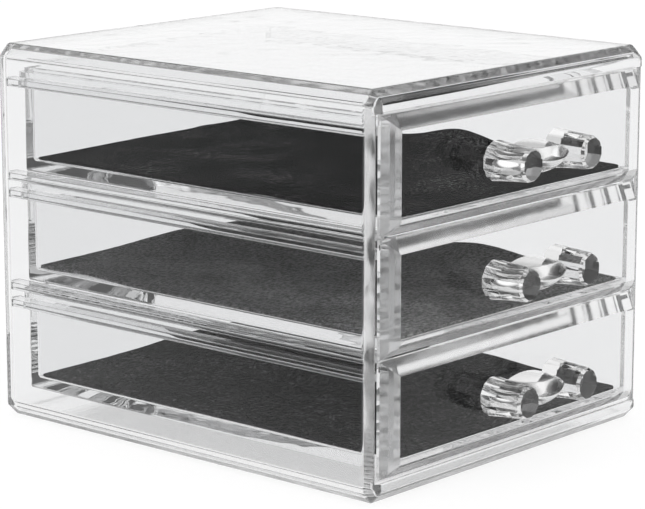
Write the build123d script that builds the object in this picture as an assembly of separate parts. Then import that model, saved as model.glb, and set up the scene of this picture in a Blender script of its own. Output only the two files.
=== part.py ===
from build123d import *
import math
import os

# Jewellery organizer: a clear moulded case with an open front and clear drawers that slide in it.
# Millimetres. Origin at the middle of the case's underside, +Z up, the drawer fronts face -Y.

# Case
case_width = 144.0
case_depth = 170.0
case_height = 130.0
case_wall = 2.9
case_chamfer = 4.2
sill_height = 7.1
header_height = 7.3
lip_thickness = 2.9
bay_names = ["lower", "middle", "upper"]

# Rails under the trays' flanges and guides over them, cemented to the case
cement_film = 0.1
rail_thickness = 2.6
guide_thickness = 2.6

# Drawer front
front_gap = 0.7
front_side_gap = 2.4
front_thickness = 5.8
front_proud = 2.8
front_bevel = 4.6

# Drawer tray, moulded in one with the front
tray_side_gap = 8.0
tray_back_gap = 2.5
tray_rise = 0.8
tray_gap = 2.5
tray_wall = 2.4
tray_floor = 3.6
tray_corner_radius = 1.2
tray_underside_radius = 1.0
tray_inner_radius = 1.8
tray_floor_radius = 1.4
flange_thickness = 1.8
flange_drop = 0.8

# Running clearances
rail_clearance = 0.25
guide_clearance = 1.3
rail_side_clearance = 1.7
flange_wall_clearance = 4.0
stop_clearance = 0.3

# Pull: two faceted posts joined by a lens-shaped bar
pull_spacing = 31.6
pull_drop = 1.0
post_sides = 12
collar_radius = 6.6
collar_length = 5.6
post_radius = 6.0
post_length = 8.2
post_end_radius = 5.5
post_rim_radius = 4.8
post_rim_length = 1.0
bar_reach = 12.0
bar_thickness = 11.0
bar_drop = 0.6
bar_tip_reach = 7.8
bar_tip_thickness = 2.0
bar_tip_lift = 1.0
bar_tip_inset = 3.0

# Felt pad laid in each tray
pad_thickness = 1.6
pad_side_clearance = 0.8
pad_floor_clearance = 0.2
pad_corner_radius = 2.5

overrun = 5.0

# Places worked out from the sizes above
front_plane = -case_depth / 2
inner_half = case_width / 2 - case_wall
inner_back = case_depth / 2 - case_wall
inner_chamfer = case_chamfer - case_wall * (2 - math.sqrt(2))
opening_height = case_height - header_height - sill_height
front_pitch = (opening_height - front_gap) / len(bay_names)
front_height = front_pitch - front_gap
front_half = inner_half - front_side_gap
front_face = front_plane - front_proud
front_back = front_face + front_thickness
tray_half = inner_half - tray_side_gap
tray_back = inner_back - tray_back_gap
tray_height = front_pitch - tray_gap
rail_width = tray_side_gap - rail_side_clearance
flange_width = tray_side_gap - flange_wall_clearance


def block(x0, x1, y0, y1, z0, z1):
    """A box between two corners."""
    size = Box(x1 - x0, y1 - y0, z1 - z0)
    return Pos((x0 + x1) / 2, (y0 + y1) / 2, (z0 + z1) / 2) * size


def front_bottom(bay):
    """Lower edge of a drawer's front, counted from the lowest bay."""
    return sill_height + front_gap + bay * front_pitch


def tray_bottom(bay):
    return front_bottom(bay) + tray_rise


def rim_top(bay):
    return tray_bottom(bay) + tray_height


def flange_bottom(bay):
    return rim_top(bay) - flange_drop - flange_thickness


def case_shell():
    """Chamfered box, hollow, with its front open between a sill and a header."""
    outer = block(-case_width / 2, case_width / 2, front_plane, -front_plane, 0, case_height)
    outer = chamfer(outer.edges(), case_chamfer)
    lip_back = front_plane + lip_thickness
    cavity = block(-inner_half, inner_half, lip_back, inner_back, case_wall, case_height - case_wall)
    back_edges = cavity.faces().sort_by(Axis.Y)[-1].edges()
    cavity = chamfer(cavity.edges().filter_by(Axis.Y) + back_edges, inner_chamfer)
    doorway = block(-inner_half, inner_half, front_plane - overrun, lip_back + overrun,
                    sill_height, case_height - header_height)
    return outer - cavity - doorway


def rail(bay, side):
    """Strip on a side wall that a tray's flange runs on; side is -1 for left and 1 for right."""
    return wall_strip(side, flange_bottom(bay) - rail_clearance - rail_thickness, rail_thickness)


def guide(bay, side):
    """Strip on a side wall over a tray's flange, which keeps an open drawer from tipping."""
    return wall_strip(side, flange_bottom(bay) + flange_thickness + guide_clearance, guide_thickness)


def wall_strip(side, bottom, thickness):
    """Strip along the inside of a side wall, its rear corner cut like the case's inner corner."""
    wall_side = inner_half - cement_film
    strip = block(inner_half - rail_width, wall_side, front_back + stop_clearance,
                  inner_back - cement_film, bottom, bottom + thickness)
    rear = strip.edges().filter_by(Axis.Z).group_by(Axis.Y)[-1].sort_by(Axis.X)[-1]
    strip = chamfer(rear, inner_chamfer)
    return strip if side > 0 else mirror(strip, Plane.YZ)


def bevelled_front(bay):
    """Thick front plate with a wide 45 degree bevel round its face."""
    bottom = front_bottom(bay)
    plate = block(-front_half, front_half, front_face, front_back, bottom, bottom + front_height)
    return chamfer(plate.faces().sort_by(Axis.Y)[0].edges(), front_bevel)


def tray(bay):
    """Drawer: open box with side flanges, moulded in one with its bevelled front."""
    bottom = tray_bottom(bay)
    top = rim_top(bay)
    body = block(-tray_half, tray_half, front_back, tray_back, bottom, top)
    rear = body.edges().filter_by(Axis.Z).group_by(Axis.Y)[-1]
    body = fillet(rear, tray_corner_radius)
    under = body.faces().sort_by(Axis.Z)[0].edges()
    front_edge = under.sort_by(Axis.Y)[0]
    body = fillet([edge for edge in under if edge != front_edge], tray_underside_radius)

    inside_half = tray_half - tray_wall
    hollow = block(-inside_half, inside_half, front_back, tray_back - tray_wall,
                   bottom + tray_floor, top + overrun)
    hollow = fillet(hollow.edges().filter_by(Axis.Z).group_by(Axis.Y)[-1], tray_inner_radius)
    hollow = fillet(hollow.faces().sort_by(Axis.Z)[0].edges(), tray_floor_radius)

    flange_low = flange_bottom(bay)
    flange = block(tray_half - tray_wall / 2, tray_half + flange_width, front_back,
                   tray_back - tray_corner_radius, flange_low, flange_low + flange_thickness)
    flange_end = flange.edges().filter_by(Axis.Z).group_by(Axis.Y)[-1].sort_by(Axis.X)[-1]
    flange = fillet(flange_end, flange_width / 2)
    return bevelled_front(bay) + (body + flange + mirror(flange, Plane.YZ) - hollow)


def pull(bay):
    """Two faceted posts with flared collars, joined by a bar that is thick in the middle."""
    height = front_bottom(bay) + front_height / 2 - pull_drop
    seat = front_face - cement_film
    solid = bar(seat, height)
    for side in (-1, 1):
        base = Plane(origin=(side * pull_spacing / 2, seat, height), x_dir=(1, 0, 0), z_dir=(0, -1, 0))
        solid = solid + post(base)
    return solid


def post(base):
    """One post, standing on a plane with a flat facet up: flared collar, tapered shaft, narrowed rim."""
    shaft_end = collar_length + post_length
    seat = post_section(base, 0, collar_radius)
    shoulder = post_section(base, collar_length, post_radius)
    rim = post_section(base, shaft_end, post_end_radius)
    tip = post_section(base, shaft_end + post_rim_length, post_rim_radius)
    collar = loft([seat, shoulder], ruled=True)
    shaft = loft([shoulder, rim], ruled=True)
    return collar + shaft + loft([rim, tip], ruled=True)


def post_section(base, distance, radius):
    return base.offset(distance) * RegularPolygon(radius, post_sides, rotation=180 / post_sides)


def bar(seat, height):
    """Bar with a flat back on the seat and a rounded front, tapering like a lens into the posts."""
    tip = pull_spacing / 2 - bar_tip_inset
    tip_height = height + bar_tip_lift
    return loft([bar_section(-tip, seat, tip_height, bar_tip_reach, bar_tip_thickness),
                 bar_section(0, seat, height - bar_drop, bar_reach, bar_thickness),
                 bar_section(tip, seat, tip_height, bar_tip_reach, bar_tip_thickness)])


def bar_section(x, seat, height, reach, thickness):
    """Half ellipse across the bar, with its straight side on the seat."""
    across = Plane(origin=(x, seat, height), x_dir=(0, -1, 0), z_dir=(1, 0, 0))
    front = EllipticalCenterArc((0, 0), reach, thickness / 2, start_angle=-90, arc_size=180)
    back = Line((0, thickness / 2), (0, -thickness / 2))
    return across * make_face([front, back])


def pad(bay):
    """Thin felt rectangle with round corners, lying on the tray's floor."""
    low = tray_bottom(bay) + tray_floor + pad_floor_clearance
    half = tray_half - tray_wall - pad_side_clearance
    y0 = front_back + pad_side_clearance
    y1 = tray_back - tray_wall - pad_side_clearance
    outline = RectangleRounded(2 * half, y1 - y0, pad_corner_radius)
    return Pos(0, (y0 + y1) / 2, low) * extrude(outline, pad_thickness)


os.makedirs("parts", exist_ok=True)

export_step(case_shell(), "parts/case_shell.step")
for bay, name in enumerate(bay_names):
    for side, side_name in ((-1, "left"), (1, "right")):
        export_step(rail(bay, side), f"parts/{name}_{side_name}_rail.step")
        if name != bay_names[-1]:
            export_step(guide(bay, side), f"parts/{name}_{side_name}_guide.step")
    export_step(tray(bay), f"parts/{name}_tray.step")
    export_step(pull(bay), f"parts/{name}_pull.step")
    export_step(pad(bay), f"parts/{name}_pad.step")

print("front height", round(front_height, 2), "pitch", round(front_pitch, 2))
print("tray height", round(tray_height, 2), "inside width", round(2 * (tray_half - tray_wall), 2))
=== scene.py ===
# %% [markdown]
# A clear jewellery organizer: a moulded case with chamfered edges, three drawers that slide out of its
# open front, a chunky faceted pull on each drawer and a black felt pad in each tray.
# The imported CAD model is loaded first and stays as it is. Everything here is looks: the camera, the
# polish of the clear plastic, the felt and the studio.

# %% Load the frame
import math

import bmesh
import bpy
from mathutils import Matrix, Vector, noise


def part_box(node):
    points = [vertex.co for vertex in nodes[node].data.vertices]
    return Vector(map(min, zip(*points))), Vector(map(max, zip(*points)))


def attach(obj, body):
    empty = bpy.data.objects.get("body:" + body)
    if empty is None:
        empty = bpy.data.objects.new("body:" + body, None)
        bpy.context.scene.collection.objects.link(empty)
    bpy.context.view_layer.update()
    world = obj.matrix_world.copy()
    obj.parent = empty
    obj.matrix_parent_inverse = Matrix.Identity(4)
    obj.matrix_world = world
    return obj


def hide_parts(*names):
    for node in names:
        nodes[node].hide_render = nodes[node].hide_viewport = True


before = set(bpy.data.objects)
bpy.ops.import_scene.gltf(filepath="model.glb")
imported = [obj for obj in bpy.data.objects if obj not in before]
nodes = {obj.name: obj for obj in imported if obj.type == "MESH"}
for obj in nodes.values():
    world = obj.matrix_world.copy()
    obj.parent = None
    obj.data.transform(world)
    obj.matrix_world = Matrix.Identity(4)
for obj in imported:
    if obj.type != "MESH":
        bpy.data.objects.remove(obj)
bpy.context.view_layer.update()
bays = ["lower", "middle", "upper"]

# %% [markdown]
# The photograph looks at the corner between the left side and the drawer fronts, from a little above.
# The camera's place, turn, tilt and lens were worked out from the corners of the case, so the object
# fills the frame as it does there. The lens is long, which keeps the upright edges nearly parallel.

# %% Camera
turn = math.radians(48.73)
tilt = math.radians(11.97)
camera_place = (-0.6915, -0.6082, 0.2523)

scene = bpy.context.scene
camera_data = bpy.data.cameras.new("photo_camera")
camera_data.sensor_width = 36.0
camera_data.lens = 153.0
camera = bpy.data.objects.new("photo_camera", camera_data)
camera.location = camera_place
level = math.cos(tilt)
forward = Vector((math.sin(turn) * level, math.cos(turn) * level, -math.sin(tilt)))
camera.rotation_euler = forward.to_track_quat("-Z", "Y").to_euler()
scene.collection.objects.link(camera)
scene.camera = camera
print("camera distance", round(camera.location.length, 3))

# %% [markdown]
# Every material here is a small graph of nodes. Three helpers keep the cells short: one adds a node and
# sets its operation and inputs, one starts a material and hands back its shader, one writes a grey. A
# value that is the same all over a surface is typed straight into the shader, and only what varies gets
# nodes.

# %% Node helpers


def add_node(tree, kind, operation=None, **inputs):
    """Add a node. An underscore in the name of an input stands for a space."""
    node = tree.nodes.new(kind)
    if operation:
        node.operation = operation
    for name, value in inputs.items():
        node.inputs[name.replace("_", " ")].default_value = value
    return node


def new_material(name):
    """Start a material: the material, its tree and its shader."""
    material = bpy.data.materials.new(name)
    material.use_nodes = True
    return material, material.node_tree, material.node_tree.nodes["Principled BSDF"]


def grey(level):
    return (level, level, level, 1.0)


# %% [markdown]
# The flat faces of a moulding are polished. Chamfers and bevels are polished less well, so a mask makes
# them a touch rougher. It finds them from the surface's normal: on a flat wall one part of the normal is
# nearly 1, on a 45 degree face no part is.

# %% Mask for slanted faces
slant_full = 0.82
slant_none = 0.95


def slant_roughness(tree, edge_rough):
    """Roughness that is edge_rough on slanted faces and 0 on flat walls."""
    geometry = add_node(tree, "ShaderNodeNewGeometry")
    positive = add_node(tree, "ShaderNodeVectorMath", "ABSOLUTE")
    parts = add_node(tree, "ShaderNodeSeparateXYZ")
    larger = add_node(tree, "ShaderNodeMath", "MAXIMUM")
    largest = add_node(tree, "ShaderNodeMath", "MAXIMUM")
    slanted = add_node(tree, "ShaderNodeMapRange", From_Min=slant_full, From_Max=slant_none,
                       To_Min=edge_rough, To_Max=0.0)
    link = tree.links.new
    link(geometry.outputs["Normal"], positive.inputs[0])
    link(positive.outputs["Vector"], parts.inputs["Vector"])
    link(parts.outputs["X"], larger.inputs[0])
    link(parts.outputs["Y"], larger.inputs[1])
    link(larger.outputs["Value"], largest.inputs[0])
    link(parts.outputs["Z"], largest.inputs[1])
    link(largest.outputs["Value"], slanted.inputs["Value"])
    return slanted.outputs["Result"]


# %% [markdown]
# The case, drawers and pulls are clear moulded plastic: a shader that transmits, with the plastic's own
# index of refraction. Light that runs a long way inside a wall before it comes out loses strength, so
# the inside absorbs a little light. A moulded wall is never quite flat. A bump of well under a degree
# hardly shows in the wall itself, but it lets out the light that runs along inside it, which is why the
# edges of clear plastic look bright. Handling leaves the faintest haze. The walls mirror little of the
# room, so that what lies behind them stays clear, and the pulls mirror it fully.

# %% Clear plastic
plastic_index = 1.49
haze_rough = 0.02
wall_tint = (0.938, 0.94, 0.943)
pull_tint = (0.98, 0.98, 0.98)


def clear_plastic(name, tint, density, reflect, wave, edge_rough):
    """Plastic that absorbs by density, mirrors by reflect and is uneven by wave."""
    material, tree, shader = new_material(name)
    shader.inputs["Base Color"].default_value = (*tint, 1.0)
    shader.inputs["Transmission Weight"].default_value = 1.0
    shader.inputs["IOR"].default_value = plastic_index
    shader.inputs["Specular Tint"].default_value = grey(reflect)
    inside = add_node(tree, "ShaderNodeVolumeAbsorption", Color=grey(0.0), Density=density)
    place = add_node(tree, "ShaderNodeTexCoord")
    haze = add_node(tree, "ShaderNodeTexNoise", Scale=60.0, Detail=4.0)
    smudge = add_node(tree, "ShaderNodeMapRange", From_Min=0.55, From_Max=0.85,
                      To_Min=0.0, To_Max=haze_rough)
    rougher = add_node(tree, "ShaderNodeMath", "MAXIMUM")
    ripple = add_node(tree, "ShaderNodeTexNoise", Scale=70.0, Detail=1.0)
    bump = add_node(tree, "ShaderNodeBump", Strength=wave, Distance=0.001)
    link = tree.links.new
    link(inside.outputs["Volume"], tree.nodes["Material Output"].inputs["Volume"])
    link(place.outputs["Object"], haze.inputs["Vector"])
    link(haze.outputs["Fac"], smudge.inputs["Value"])
    link(slant_roughness(tree, edge_rough), rougher.inputs[0])
    link(smudge.outputs["Result"], rougher.inputs[1])
    link(rougher.outputs["Value"], shader.inputs["Roughness"])
    link(place.outputs["Object"], ripple.inputs["Vector"])
    link(ripple.outputs["Fac"], bump.inputs["Height"])
    link(bump.outputs["Normal"], shader.inputs["Normal"])
    return material


case_plastic = clear_plastic("case_plastic", wall_tint,
                             density=2.0, reflect=0.0, wave=0.05, edge_rough=0.1)
drawer_plastic = clear_plastic("drawer_plastic", wall_tint,
                               density=1.0, reflect=0.0, wave=0.012, edge_rough=0.15)
pull_plastic = clear_plastic("pull_plastic", pull_tint,
                             density=8.0, reflect=1.0, wave=0.0, edge_rough=0.0)
print("clear plastics", case_plastic.name, drawer_plastic.name, pull_plastic.name)

# %% [markdown]
# A CAD mesh is flat shaded, so its round corners would show as facets. A small node group shades it
# smooth and keeps sharp every edge that folds by more than 20 degrees.

# %% Smooth by angle
smooth_fold = math.radians(20)

smoother = bpy.data.node_groups.new("smooth_by_angle", "GeometryNodeTree")
for way in ("INPUT", "OUTPUT"):
    smoother.interface.new_socket("Mesh", in_out=way, socket_type="NodeSocketGeometry")
group_in = add_node(smoother, "NodeGroupInput")
group_out = add_node(smoother, "NodeGroupOutput")
faces_smooth = add_node(smoother, "GeometryNodeSetShadeSmooth")
edges_sharp = add_node(smoother, "GeometryNodeSetShadeSmooth", Shade_Smooth=False)
edges_sharp.domain = "EDGE"
fold = add_node(smoother, "GeometryNodeInputMeshEdgeAngle")
sharp = add_node(smoother, "FunctionNodeCompare", B=smooth_fold)
link = smoother.links.new
link(group_in.outputs[0], faces_smooth.inputs["Geometry"])
link(faces_smooth.outputs["Geometry"], edges_sharp.inputs["Geometry"])
link(fold.outputs["Unsigned Angle"], sharp.inputs["A"])
link(sharp.outputs["Result"], edges_sharp.inputs["Selection"])
link(edges_sharp.outputs["Geometry"], group_out.inputs[0])
print("node group", smoother.name)

# %% [markdown]
# A CAD mesh also comes as loose triangles with knife edges. Live modifiers mend that without touching
# the mesh: Weld joins the triangles, and on the case and its strips Decimate melts the flat ones into
# whole faces and Bevel rounds each edge by a fraction of a millimetre, as a mould does. Weighted Normal
# then keeps the large faces truly flat, or they would bend what is seen through them. The drawers and
# pulls keep their crisp edges. The clear pieces let light through, so they cast no shadow.

# %% Dress the clear nodes
weld_distance = 0.000002
melt_fold = math.radians(0.5)
round_fold = math.radians(35)
round_segments = 3
large_face_weight = 100
case_edge_round = 0.0005
strip_edge_round = 0.0004


def dress(node, material, edge_round):
    """Give a node its material and the modifiers that mend it; edge_round 0 keeps its edges."""
    node.data.materials.clear()
    node.data.materials.append(material)
    node.visible_shadow = False
    weld = node.modifiers.new("weld", "WELD")
    weld.merge_threshold = weld_distance
    if edge_round:
        melt = node.modifiers.new("melt_flat_faces", "DECIMATE")
        melt.decimate_type = "DISSOLVE"
        melt.angle_limit = melt_fold
        bevel = node.modifiers.new("edge_round", "BEVEL")
        bevel.width = edge_round
        bevel.segments = round_segments
        bevel.limit_method = "ANGLE"
        bevel.angle_limit = round_fold
        bevel.use_clamp_overlap = False
    shading = node.modifiers.new("smooth_by_angle", "NODES")
    shading.node_group = smoother
    if edge_round:
        flat = node.modifiers.new("flat_faces_stay_flat", "WEIGHTED_NORMAL")
        flat.weight = large_face_weight
        flat.keep_sharp = True


for name, node in nodes.items():
    if name.endswith("_pad"):
        continue
    if name.endswith("_pull"):
        dress(node, pull_plastic, 0.0)
    elif name.endswith("_tray"):
        dress(node, drawer_plastic, 0.0)
    elif name == "case_shell":
        dress(node, case_plastic, case_edge_round)
    else:
        dress(node, case_plastic, strip_edge_round)
print("clear nodes dressed")

# %% [markdown]
# The pads are thin black felt: pressed fibres, quite matt, with a trace of pale fuzz when seen at a slant.
# A fine stretched noise makes the fibres, and its brightest peaks are specks of lint. A slow noise makes
# The three pads are the same felt, shaded apart as painted light: the middle pad is painted paler to make
# up for the shade of the pad above it, and the upper pad darker to make up for what the plastic over it
# mirrors.

# %% Felt
fuzz_level = 0.15
gap_level = 0.4
fibre_level = 1.8
lint_lift = 0.2
gap_at = 0.38
fibre_at = 0.62
lint_at = 0.72
# Painted light: the middle pad's shade is raised to make up for the shade it lies in, the upper pad's
# lowered.
felt_shades_with_painted_light = {"lower": 0.05, "middle": 0.22, "upper": 0.012}


def felt(name, shade):
    """Matt felt. The levels say how much of its shade the gaps, fibres and fuzz have."""
    material, tree, shader = new_material(name)
    shader.inputs["Roughness"].default_value = 0.95
    shader.inputs["Specular IOR Level"].default_value = 0.0
    shader.inputs["Sheen Weight"].default_value = shade * fuzz_level
    shader.inputs["Sheen Roughness"].default_value = 0.4
    place = add_node(tree, "ShaderNodeTexCoord")
    stretch = add_node(tree, "ShaderNodeMapping", Scale=(1.0, 1.6, 1.0))
    fibres = add_node(tree, "ShaderNodeTexNoise", Scale=700.0, Detail=2.0, Roughness=0.8)
    clouds = add_node(tree, "ShaderNodeTexNoise", Scale=45.0, Detail=3.0)
    faint = add_node(tree, "ShaderNodeMapRange", From_Min=0.25, From_Max=0.75,
                     To_Min=0.88, To_Max=1.12)
    both = add_node(tree, "ShaderNodeMath", "MULTIPLY")
    ramp = add_node(tree, "ShaderNodeValToRGB")
    gap, fibre = ramp.color_ramp.elements
    gap.position = gap_at
    gap.color = grey(shade * gap_level)
    fibre.position = fibre_at
    fibre.color = grey(shade * fibre_level)
    lint = ramp.color_ramp.elements.new(lint_at)
    lint.color = grey(shade * fibre_level + lint_lift)
    bump = add_node(tree, "ShaderNodeBump", Strength=0.6, Distance=0.0006)
    link = tree.links.new
    link(place.outputs["Object"], stretch.inputs["Vector"])
    link(stretch.outputs["Vector"], fibres.inputs["Vector"])
    link(place.outputs["Object"], clouds.inputs["Vector"])
    link(fibres.outputs["Fac"], both.inputs[0])
    link(clouds.outputs["Fac"], faint.inputs["Value"])
    link(faint.outputs["Result"], both.inputs[1])
    link(both.outputs["Value"], ramp.inputs["Fac"])
    link(ramp.outputs["Color"], shader.inputs["Base Color"])
    link(fibres.outputs["Fac"], bump.inputs["Height"])
    link(bump.outputs["Normal"], shader.inputs["Normal"])
    return material


felts = {bay: felt(f"felt_{bay}", shade) for bay, shade in felt_shades_with_painted_light.items()}
print("felts", list(felts))

# %% [markdown]
# Each pad is a stiff piece of felt, cut a little smaller than the tray and dropped in, so it doesn't lie
# quite flat: its far edge and its side edges ride up in low humps. It starts as a fine grid, its corners
# are rounded, and every point is lifted by the humps and by a slow noise that differs from drawer to
# drawer.

# %% Shape of the felt
felt_thickness = 0.0009
corner_round = 0.0025
grid_across = 76
grid_along = 104
wave_height = 0.0008
wave_rate = 16
wave_bias = 0.35


def felt_grid(half):
    """Flat grid of the pad's size with round corners, about the origin."""
    bm = bmesh.new()
    bmesh.ops.create_grid(bm, x_segments=grid_across, y_segments=grid_along, size=1.0)
    bmesh.ops.scale(bm, verts=bm.verts, vec=(half.x, half.y, 1.0))
    for vert in bm.verts:
        past_x = abs(vert.co.x) - (half.x - corner_round)
        past_y = abs(vert.co.y) - (half.y - corner_round)
        if past_x > 0 and past_y > 0:
            shrink = max(past_x, past_y) / math.hypot(past_x, past_y)
            vert.co.x = math.copysign(half.x - corner_round + past_x * shrink, vert.co.x)
            vert.co.y = math.copysign(half.y - corner_round + past_y * shrink, vert.co.y)
    return bm


def hump(distance, reach):
    """Smooth hill: 1 in its middle and next to nothing at twice its reach."""
    return math.exp(-((distance / reach) ** 2))


def lift_points(bm, seed, humps):
    """Lift each point by the slow noise and by the humps that reach it."""
    for vert in bm.verts:
        spot = Vector((vert.co.x * wave_rate, vert.co.y * wave_rate, seed))
        lift = wave_height * max(0.0, noise.noise(spot) + wave_bias)
        for x, y, reach_x, reach_y, height in humps:
            lift += height * hump(vert.co.x - x, reach_x) * hump(vert.co.y - y, reach_y)
        vert.co.z += lift


# %% [markdown]
# A Solidify modifier gives the felt its thickness. Each pad takes the size of the CAD pad, rides with its
# drawer and stands for the CAD pad, which is hidden. A hump is given by its place, its reach both ways and
# its height.

# %% Felt sheets
side_edge = 0.0579
far_edge = 0.0764
first_seed = 3.7
seed_step = 5.1
edge_humps = {
    "lower": [(0.02, far_edge, 0.03, 0.03, 0.001), (side_edge, -0.022, 0.025, 0.02, 0.002)],
    "middle": [(0.018, far_edge, 0.03, 0.03, 0.0022), (side_edge, -0.022, 0.025, 0.02, 0.003),
               (-side_edge, 0.05, 0.02, 0.016, 0.0013)],
    "upper": [(0.025, far_edge, 0.03, 0.03, 0.0005), (side_edge, -0.012, 0.025, 0.016, 0.0045),
              (-side_edge, -0.03, 0.02, 0.012, 0.0006)],
}


def felt_sheet(bay, seed, humps):
    """The felt pad of one drawer."""
    low, high = (Vector(corner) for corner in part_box(f"{bay}_pad"))
    middle = (low + high) / 2
    half = (high - low) / 2
    bm = felt_grid(half)
    bmesh.ops.translate(bm, verts=bm.verts, vec=(middle.x, middle.y, low.z + felt_thickness))
    lift_points(bm, seed, humps)
    mesh = bpy.data.meshes.new(f"{bay}_felt_sheet")
    bm.to_mesh(mesh)
    bm.free()
    for polygon in mesh.polygons:
        polygon.use_smooth = True
    mesh.materials.append(felts[bay])
    sheet = bpy.data.objects.new(f"{bay}_felt_sheet", mesh)
    scene.collection.objects.link(sheet)
    solidify = sheet.modifiers.new("felt_thickness", "SOLIDIFY")
    solidify.thickness = felt_thickness
    solidify.offset = -1.0
    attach(sheet, f"{bay}_drawer")
    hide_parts(f"{bay}_pad")
    return sheet


for index, bay in enumerate(bays):
    sheet = felt_sheet(bay, first_seed + seed_step * index, edge_humps[bay])
    print(sheet.name, len(sheet.data.vertices), "points")

# %% [markdown]
# The studio is a white room with a dim ceiling. One broad soft light hangs right above and a second one
# over the camera. On the picture's right a dark screen stands beside the object. Flat walls don't show
# it, but chamfers, floors and rounded edges bend the view sideways and catch it as dark patches and
# lines, and that is what draws clear plastic. Light that runs inside the walls needs many bounces to
# come out. Directions are measured against arrows: up, the way the camera looks and the picture's right.

# %% Studio arrows and bounces
scene.view_settings.view_transform = "Standard"
scene.cycles.max_bounces = 256
scene.cycles.transmission_bounces = 256
scene.cycles.glossy_bounces = 64
scene.cycles.diffuse_bounces = 4

screen_angle = math.radians(67)
upward = Vector((0.0, 0.0, 1.0))
ahead = Vector((math.sin(turn), math.cos(turn), 0.0))
rightward = Vector((math.cos(turn), -math.sin(turn), 0.0))
screen_way = ahead * math.cos(screen_angle) + rightward * math.sin(screen_angle)
print("screen towards", [round(part, 2) for part in screen_way])

# %% [markdown]
# The sky is built from the inside out: the ceiling gets its two lights, the walls go round the ceiling,
# and the screen goes in front of both. Each piece has soft edges. They are given as two cosines of the
# angle to its arrow: where it starts and where it is full.

# %% Studio light
wall_light = 1.0
ceiling_light = 0.25
camera_light = 1.2
overhead_light = 1.45
screen_light = 0.1
ceiling_edge = (0.36, 0.5)
camera_light_edge = (0.05, 0.45)
overhead_edge = (0.76, 0.86)
screen_edge = (0.62, 0.8)

world = bpy.data.worlds.new("studio")
scene.world = world
world.use_nodes = True
sky_tree = world.node_tree
sky_place = add_node(sky_tree, "ShaderNodeTexCoord")


def facing(way, edge):
    """0 where a direction turns away from an arrow, 1 where it runs along it."""
    start, full = edge
    dot = add_node(sky_tree, "ShaderNodeVectorMath", "DOT_PRODUCT")
    dot.inputs[1].default_value = way
    part = add_node(sky_tree, "ShaderNodeMapRange", From_Min=start, From_Max=full)
    sky_tree.links.new(sky_place.outputs["Generated"], dot.inputs[0])
    sky_tree.links.new(dot.outputs["Value"], part.inputs["Value"])
    return part.outputs["Result"]


def blend(factor, first, second):
    """Mix of two lights, each a number or the result of a node."""
    mix = add_node(sky_tree, "ShaderNodeMix")
    for socket, value in (("Factor", factor), ("A", first), ("B", second)):
        if isinstance(value, float):
            mix.inputs[socket].default_value = value
        else:
            sky_tree.links.new(value, mix.inputs[socket])
    return mix.outputs["Result"]


ceiling = blend(facing(-ahead, camera_light_edge), ceiling_light, camera_light)
ceiling = blend(facing(upward, overhead_edge), ceiling, overhead_light)
room = blend(facing(upward, ceiling_edge), wall_light, ceiling)
sky = blend(facing(screen_way, screen_edge), room, screen_light)
sky_tree.links.new(sky, sky_tree.nodes["Background"].inputs["Color"])
print("studio world", len(sky_tree.nodes), "nodes")

# %% [markdown]
# The floor is a wide disc of white paper, a hair below the object so that the two faces don't flicker.

# %% Floor
floor_radius = 4.0
floor_drop = 0.0003
floor_mesh = bpy.data.meshes.new("floor")
bm = bmesh.new()
bmesh.ops.create_circle(bm, cap_ends=True, segments=96, radius=floor_radius)
bmesh.ops.translate(bm, verts=bm.verts, vec=(0, 0, -floor_drop))
bm.to_mesh(floor_mesh)
bm.free()
floor = bpy.data.objects.new("floor", floor_mesh)
scene.collection.objects.link(floor)
print("floor", floor.name)

# %% [markdown]
# The paper's glow is painted light: white along the camera's view, turning pale grey on both sides.
# The node called wings measures how far to the side a point lies, less most of how far along it lies.

# %% Light on the paper
wing_slope = 0.9
wing_start = 0.1
wing_end = 0.35
bright_glow = 0.85
side_glow = 0.45

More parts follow.
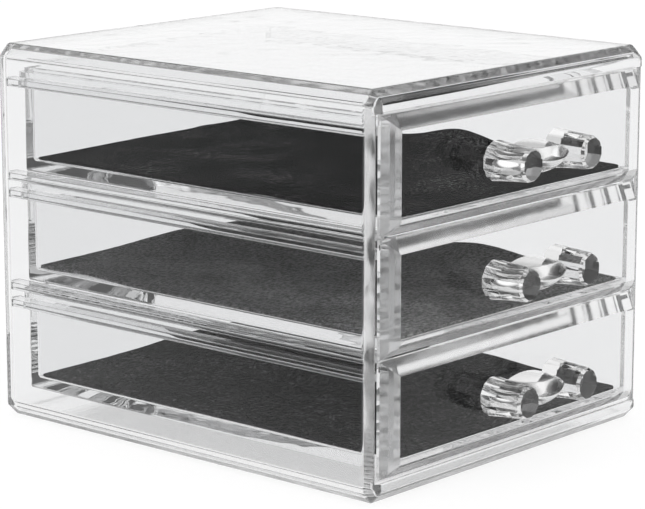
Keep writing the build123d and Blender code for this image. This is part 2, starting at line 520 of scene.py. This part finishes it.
paper, paper_tree, paper_shader = new_material("floor_paper")
paper_tree.nodes.remove(paper_shader)
link = paper_tree.links.new
place = add_node(paper_tree, "ShaderNodeTexCoord")
wings = add_node(paper_tree, "ShaderNodeMath", "MULTIPLY_ADD")
wings.inputs[1].default_value = -wing_slope
for way, socket in ((ahead, 0), (rightward, 2)):
    along = add_node(paper_tree, "ShaderNodeVectorMath", "DOT_PRODUCT")
    along.inputs[1].default_value = way
    length = add_node(paper_tree, "ShaderNodeMath", "ABSOLUTE")
    link(place.outputs["Object"], along.inputs[0])
    link(along.outputs["Value"], length.inputs[0])
    link(length.outputs["Value"], wings.inputs[socket])
# Painted light: the glow is full along the view and fades to pale grey at the sides.
fade = add_node(paper_tree, "ShaderNodeMapRange", From_Min=wing_start, From_Max=wing_end,
                To_Min=bright_glow, To_Max=side_glow)
fade.interpolation_type = "SMOOTHSTEP"
glow = add_node(paper_tree, "ShaderNodeEmission", Color=grey(1.0))
link(wings.outputs["Value"], fade.inputs["Value"])
link(fade.outputs["Result"], glow.inputs["Strength"])
print("paper", len(paper_tree.nodes), "nodes")

# %% [markdown]
# Seen straight, mirrored or through the plastic, the paper glows, with a part that still takes the soft
# shadow of the pads. For the light that it throws back on the object it is plain pale paper.

# %% Paper
paper_level = 0.9
shadow_level = 0.2

plain = add_node(paper_tree, "ShaderNodeBsdfDiffuse", Color=grey(paper_level))
shaded = add_node(paper_tree, "ShaderNodeBsdfDiffuse", Color=grey(shadow_level))
white = add_node(paper_tree, "ShaderNodeAddShader")
rays = add_node(paper_tree, "ShaderNodeLightPath")
unbent = add_node(paper_tree, "ShaderNodeMath", "MAXIMUM")
seen = add_node(paper_tree, "ShaderNodeMath", "MAXIMUM")
choose = add_node(paper_tree, "ShaderNodeMixShader")
link(rays.outputs["Is Camera Ray"], unbent.inputs[0])
link(rays.outputs["Is Glossy Ray"], unbent.inputs[1])
link(unbent.outputs["Value"], seen.inputs[0])
link(rays.outputs["Is Transmission Ray"], seen.inputs[1])
link(seen.outputs["Value"], choose.inputs["Fac"])
link(shaded.outputs["BSDF"], white.inputs[0])
link(glow.outputs["Emission"], white.inputs[1])
link(plain.outputs["BSDF"], choose.inputs[1])
link(white.outputs["Shader"], choose.inputs[2])
link(choose.outputs["Shader"], paper_tree.nodes["Material Output"].inputs["Surface"])
floor_mesh.materials.append(paper)
print("paper", len(paper_tree.nodes), "nodes")
